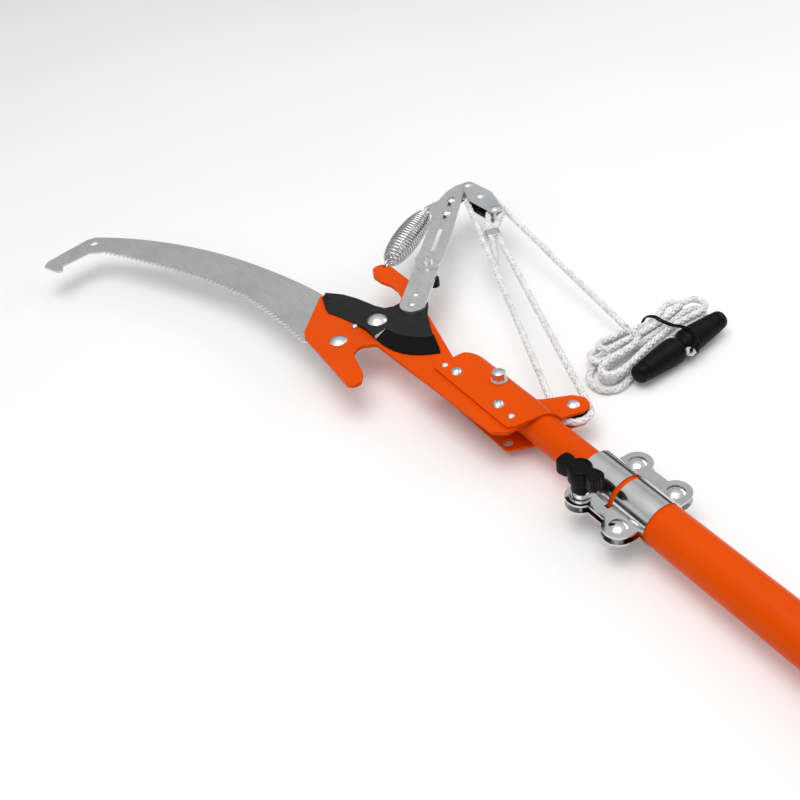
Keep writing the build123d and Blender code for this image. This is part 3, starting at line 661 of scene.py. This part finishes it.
def add_tie():
    """Two turns of plastic-coated wire round the hank and the grip, their ends twisted."""
    wire = 0.75
    loops = []
    for shift, lift in ((0.0, 0.0), (-2.2, 0.1)):
        ring = [
            (-1, -19.2, -17.5), (-1.5, -17.6, -12.5), (-1, -14.5, -8.6),
            (-1, -7, -5.4), (-2, 3, -5.0), (-2, 12, -4.2),
            (-2, 20, -1.9), (-3, 29.3, 0.4 + lift), (-4, 36.0, -1.9), (-5, 40.0, -7.0), (-5, 41.0, -12),
            (-4, 38.8, -18.4), (-3, 33, -22.6), (-1, 20, -23.0), (-1, -12, -23.0), (-1, -17.5, -21.5),
        ]
        points = [bundle_point(along + shift, across, z) for along, across, z in ring]
        loops.append(round_tube(closed_line(points, 8), wire))
    tails = []
    for phase in (0.0, math.pi):
        spots = []
        for step in range(25):
            share = step / 24
            turn = phase + 5.5 * math.pi * share
            middle = np.array(bundle_point(-5 - 13 * share, 39.0 + 4.5 * share, -3.6 - 4.0 * share * share))
            spots.append(middle + ACROSS * 0.9 * math.cos(turn) + np.array((0, 0, 0.9 * math.sin(turn))))
        tails.append(round_tube(np.array(spots), wire))
    points, faces = join_skins(loops + tails)
    tie = add_mesh("twist_tie_wire", points, faces, "black_plastic")
    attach(tie, "head")
    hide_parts("twist_tie")


def add_ferrule():
    """A pressed double barrel: its section is an oval drawn in at the waist."""
    middle = np.array((-41.07, 119.8, 18.5))
    heading = math.radians(-19.6)
    along = np.array((math.cos(heading), math.sin(heading), 0.0))
    side = np.array((-math.sin(heading), math.cos(heading), 0.0))
    lobes, reach = 4.7, 5.65
    angles = np.linspace(0, 2 * math.pi, 48, endpoint=False)
    double = lobes ** 2 * np.cos(2 * angles)
    radii = np.sqrt(double + np.sqrt(reach ** 4 - (lobes ** 2 * np.sin(2 * angles)) ** 2))
    rings = []
    for place, scale in ((-6.0, 0.88), (-5.4, 0.97), (-4.6, 1.0), (4.6, 1.0), (5.4, 0.97), (6.0, 0.88)):
        across = side * (radii * np.cos(angles))[:, None]
        upward = np.array((0, 0, 1.0)) * (radii * np.sin(angles))[:, None]
        rings.append(middle + along * place + (across + upward) * scale)
    points, faces = skin(np.array(rings))
    ferrule = add_mesh("rope_ferrule_pressed", points, faces, "zinc")
    keep_sharp(ferrule, 50)
    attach(ferrule, "block")
    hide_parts("rope_ferrule")


# ---- spring -------------------------------------------------------------------------------------
def add_spring():
    """A barrel of close turns with an eye at each end."""
    low = np.array((*SPRING_HOLE, SPRING_Z[0]))
    high = np.array((*SPRING_EAR, SPRING_Z[1]))
    span = np.linalg.norm(high - low)
    heading = (high - low) / span
    side = np.cross(heading, (0, 0, 1))
    side /= np.linalg.norm(side)
    up = np.cross(side, heading)
    start, end = 2 * HOOK_R + 1.0, span - 2 * HOOK_R - 1.2
    steps = SPRING_TURNS * 24
    shares = np.linspace(0, 1, steps)
    bulge = np.sin(math.pi * shares ** 0.9) ** 0.5
    radii = SPRING_END_R + (SPRING_MIDDLE_R - SPRING_END_R) * bulge
    turns = 2 * math.pi * SPRING_TURNS * shares
    body = low + heading * (start + (end - start) * shares)[:, None]
    body = body + (up * np.cos(turns)[:, None] + side * np.sin(turns)[:, None]) * radii[:, None]

    def eye(centre, toward, count=20):
        """Most of a turn in the upright plane, from the barrel's end round the hole."""
        angles = np.linspace(math.radians(25), math.radians(335), count)
        return centre - toward * HOOK_R * np.cos(angles)[:, None] + up * HOOK_R * np.sin(angles)[:, None]

    lower_eye = eye(low + heading * HOOK_R, -heading)
    upper_eye = eye(high - heading * HOOK_R, heading)
    whole = np.concatenate([lower_eye, body, upper_eye])
    line, _ = even(whole, 0.7)
    points, faces = round_tube(line, SPRING_WIRE_R)
    spring = add_mesh("return_spring_coils", points, faces, "spring_steel")
    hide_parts("return_spring", "spring_top_hook")
    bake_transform(spring)


# ---- clamp knob -----------------------------------------------------------------------------------
def knob_outline():
    """Plan of the bow-tie wings: narrow at the hub, wide and fluted at the ends."""
    half_length, waist, end_half, root = 17.5, 3.8, 6.2, 11.5
    right = [(6.5, waist), (8.5, waist + 0.6), (10.2, end_half - 0.7)]
    flutes = 8
    for step in range(flutes * 4 + 1):
        share = step / (flutes * 4)
        angle = math.radians(80 - 160 * share)
        reach = 1 - 0.07 * (0.5 - 0.5 * math.cos(2 * math.pi * flutes * share))
        x = root + (half_length - root) * math.cos(angle) ** 0.45 * reach
        y = end_half * math.copysign(abs(math.sin(angle)) ** 0.7, math.sin(angle)) * reach
        right.append((x, y))
    right += [(10.2, -end_half + 0.7), (8.5, -waist - 0.6), (6.5, -waist)]
    left = [(-x, -y) for x, y in right]
    return np.array(right + left)


def add_knob():
    outline = knob_outline()
    low, high = KNOB_Z
    levels = [(low, 0.90), (low + 0.8, 0.97), (low + 2.0, 1.0), (high - 2.4, 1.0), (high - 1.0, 0.965),
              (high - 0.3, 0.90), (high, 0.80)]
    cos, sin = math.cos(KNOB_TURN), math.sin(KNOB_TURN)
    turn = np.array(((cos, -sin), (sin, cos)))
    rings = []
    for z, scale in levels:
        inset = outline.copy()
        inset[:, 1] *= scale
        inset[:, 0] = np.sign(inset[:, 0]) * (np.abs(inset[:, 0]) - (1 - scale) * 7.0)
        flat = inset @ turn.T + KNOB_AT
        rings.append(np.column_stack([flat, np.full(len(flat), z)]))
    wings = skin(np.array(rings)[:, ::-1, :])
    hub = [(9.8, 6.2), (10.2, 6.6), (17.6, 6.6), (18.4, 7.8), (19.2, 8.5), (29.6, 8.5)]
    hub += [(30.3, 8.1), (30.7, 7.4), (30.7, 6.2), (30.2, 5.8), (30.2, 0.6)]
    core = turned(hub, (*KNOB_AT, 0.0), (0, 0, 1), 40, (1, 0, 0))
    points, faces = join_skins([wings, core])
    knob = add_mesh("clamp_wing_knob", points, faces, "black_plastic")
    keep_sharp(knob, 40)
    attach(knob, "knob")
    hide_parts("clamp_knob")


# ---- cutter ------------------------------------------------------------------------------------------
def add_cutter():
    """The cutting lever with its ground bevels, which run from its outline in to the flat."""
    ground = black("black_steel_ground", 0.002, 0.3, 400, 0.01, 0.08, 0.03)
    band_start = bright("ground_edge", (0.85, 0.85, 0.86), 0.35, 250, 0.2)
    outline = [
        (-65, -46), (-67, -41), (-54, -31), (-40, -25), (-19, -19),
        (-11, -15), (-8, -8), (-9, 14), (-4, 23), (9, 16),
        (21, 7), (47, -5), (68.5, -12.4), (70, -13), (65.5, -21),
        (61, -27), (56, -32), (50, -36), (43.5, -39),
        (36, -41), (28, -42), (19.2, -42.3), (18.3, -42.3), (3, -42),
        (-12, -44), (-28, -48), (-42, -53), (-48, -52),
    ]
    # by the outline's index, the corner of the flat beside it
    flat_corner = {
        12: (50.5, -5.5), 13: (50.5, -6.5), 14: (48, -11.5), 15: (44, -16), 16: (39.5, -20),
        17: (34.5, -24), 18: (29.5, -26.6), 19: (24.5, -28.2), 20: (20, -29.2), 21: (15.4, -29.9),
        22: (18.3, -42.3), 24: (-10, -34), 25: (-25.2, -35.5), 26: (-39.4, -38), 27: (-52.7, -41),
        0: (-64.2, -43),
    }
    low, high = CUTTER_Z
    edge_z = low + 1.0
    band_ends = (12, 22)  # the edge's bevel fades out at these points of the outline
    count = len(outline)
    base = [(x, y, low) for x, y in outline]
    rim = [(x, y, edge_z if index in flat_corner and index not in band_ends else high)
           for index, (x, y) in enumerate(outline)]
    top = [(*flat_corner.get(index, spot), high) for index, spot in enumerate(outline)]
    points = base + rim + top
    faces = [tuple(range(count))[::-1], tuple(range(2 * count, 3 * count))]
    for index in range(count):
        after = (index + 1) % count
        faces.append((index, after, count + after, count + index))
        if index in flat_corner or after in flat_corner:
            faces.append((count + index, count + after, 2 * count + after, 2 * count + index))
    keep = []
    for face in faces:
        spots = []
        for corner in face:
            if not spots or points[corner] != points[spots[-1]]:
                spots.append(corner)
        if points[spots[0]] == points[spots[-1]]:
            spots.pop()
        if len(spots) > 2:
            keep.append(tuple(reversed(spots)))
    cutter = add_mesh("cutter_ground", points, keep, "black_steel", False, (ground, band_start))
    flat, edge_band, band_end = 0, 1, 2
    band_from = 19.5
    end_at, end_reach, end_below = 17.6, 0.8, -36.0  # the bright sliver where the bevel begins
    end_area = 3e-5  # square metres
    for polygon in cutter.data.polygons:
        x, y = polygon.center.x / MM + BUTT_X, polygon.center.y / MM
        slope = polygon.normal.z
        polygon.material_index = edge_band if 0.6 < slope < 0.999 and x > band_from else flat
        if abs(x - end_at) < end_reach and y < end_below and slope > 0.05 and polygon.area < end_area:
            polygon.material_index = band_end
    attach(cutter, "cutter")
    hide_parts("cutter_blade")


# ---- build -----------------------------------------------------------------------------------------
add_camera()
add_world()
finish_nodes()
add_ropes()
add_grip()
add_tie()
add_ferrule()
add_spring()
add_knob()
add_cutter()
add_floor(cad_box[0][2])
add_area_light("key", (-1.3, -0.3, 1.7), (-1.5, 0, 0), (1.3, 1.3), 15)
add_area_light("fill", (-0.7, -1.4, 1.1), (-1.45, 0, 0), (1.6, 0.9), 4)
add_area_light("rim", (-1.2, 1.5, 0.9), (-1.45, 0, 0), (1.4, 0.5), 5)
scene.view_settings.view_transform = "Standard"
